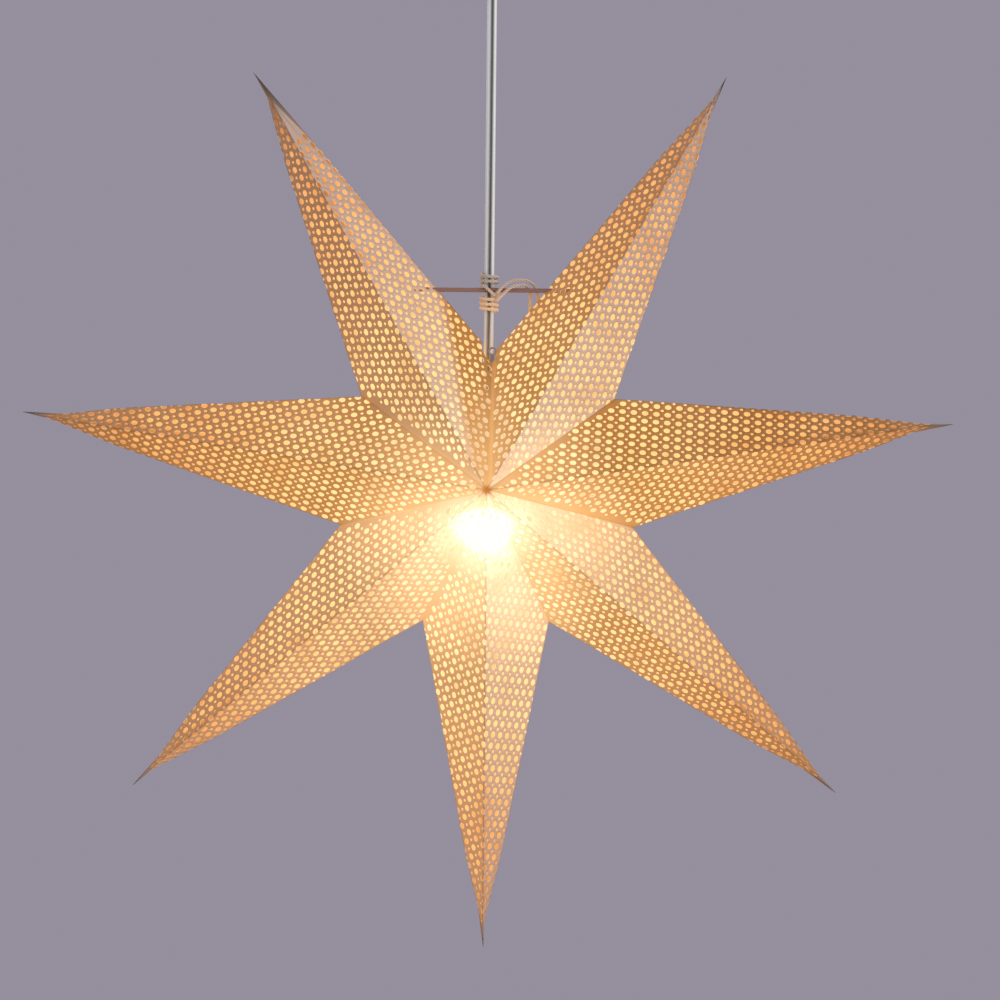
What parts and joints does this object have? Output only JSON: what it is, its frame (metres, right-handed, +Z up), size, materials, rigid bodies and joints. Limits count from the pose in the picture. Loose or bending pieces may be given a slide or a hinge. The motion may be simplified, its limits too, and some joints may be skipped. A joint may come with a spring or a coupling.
{
  "type": "paper star lantern",
  "caption": "Hanging paper star lantern with seven long perforated points, lit from inside by a screw-in bulb on a flat cord from a ceiling cup.",
  "frame": {"origin": "middle of the ceiling plate's upper face, which lies against the ceiling", "axes": "+Z up out of the ceiling plate, -Y towards the star's front, +X to the right seen from the front"},
  "size_m": [0.5368, 0.124, 0.601],
  "materials": {
    "star_paper": "matt perforated paper",
    "white_cup": "satin",
    "zinc_plate": "zinc plated",
    "bright_screw": "bright",
    "clear_block": "milky",
    "brass_parts": "plain",
    "cord_jacket": "satin",
    "core_insulation": "satin",
    "pale_rubber": "matt",
    "rod_wire": "plain",
    "tie_string": "twisted string",
    "holder_plastic": "satin",
    "core_plastic": "matt",
    "clip_wire": "lacquered wire",
    "solder": "dull",
    "black_glass": "gloss",
    "lamp_glass": "frosted",
    "cap_metal": "bright",
    "stem_glass": "clear",
    "filament_wire": "glowing wire"
  },
  "bodies": {
    "ceiling_fitting": {"ceiling_plate": "zinc_plate", "ceiling_cup": "white_cup", "cup_screws": "bright_screw", "terminal_block": "clear_block", "terminal_screws": "brass_parts", "cord_clamp_bar": "zinc_plate", "clamp_screws": "bright_screw", "cord_inside_cup": "cord_jacket", "ceiling_wires": "core_insulation"},
    "bush": {"outlet_bush": "pale_rubber"},
    "cord_top": {"cord_upper_stretch": "cord_jacket"},
    "pendant": {"cord_lower_stretch": "cord_jacket", "hanger_rod": "rod_wire", "tie_string_wrap": "tie_string", "tie_string_tails": "tie_string", "cord_grip_nut": "holder_plastic", "holder_cap": "holder_plastic", "holder_skirt": "holder_plastic", "insulating_core": "core_plastic", "screw_shell": "brass_parts", "centre_contact": "brass_parts", "holder_terminal_screws": "brass_parts", "holder_wires": "core_insulation"},
    "star": {"star_point_upper_left": "star_paper", "star_point_left": "star_paper", "star_point_lower_left": "star_paper", "star_point_bottom": "star_paper", "star_point_lower_right": "star_paper", "star_point_right": "star_paper", "star_point_upper_right": "star_paper", "seam_clip": "clip_wire"},
    "bulb_end": {"bulb_contact": "solder", "bulb_insulator": "black_glass"},
    "bulb": {"bulb_glass": "lamp_glass", "bulb_cap": "cap_metal", "bulb_stem": "stem_glass", "bulb_filament": "filament_wire"}
  },
  "joints": [
    {"name": "swing_side", "type": "hinge", "parent": "ceiling_fitting", "child": "bush", "pos_m": [0, 0, -0.038], "axis": [0, 1, 0], "range_deg": [-20, 20]},
    {"name": "swing_front", "type": "hinge", "parent": "bush", "child": "cord_top", "pos_m": [0, 0, -0.038], "axis": [1, 0, 0], "range_deg": [-20, 20]},
    {"name": "star_turn", "type": "hinge", "parent": "cord_top", "child": "pendant", "pos_m": [0, 0, -0.068], "axis": [0, 0, 1], "range_deg": [-180, 180], "stiffness_Nm_per_rad": 0.001},
    {"name": "star_tilt", "type": "hinge", "parent": "pendant", "child": "star", "pos_m": [0, -0.0029, -0.219], "axis": [1, 0, 0], "range_deg": [-4, 4]},
    {"name": "bulb_slide", "type": "slide", "parent": "pendant", "child": "bulb_end", "axis": [0, 0, 1], "range_m": [-0.01693, 0]},
    {"name": "bulb_turn", "type": "hinge", "parent": "bulb_end", "child": "bulb", "pos_m": [0, 0, -0.33], "axis": [0, 0, 1], "range_deg": [-2160, 0]}
  ],
  "couplings": [
    {"joint": "bulb_slide", "follows": "bulb_turn", "m_per_rad": 0.00044914}
  ]
}
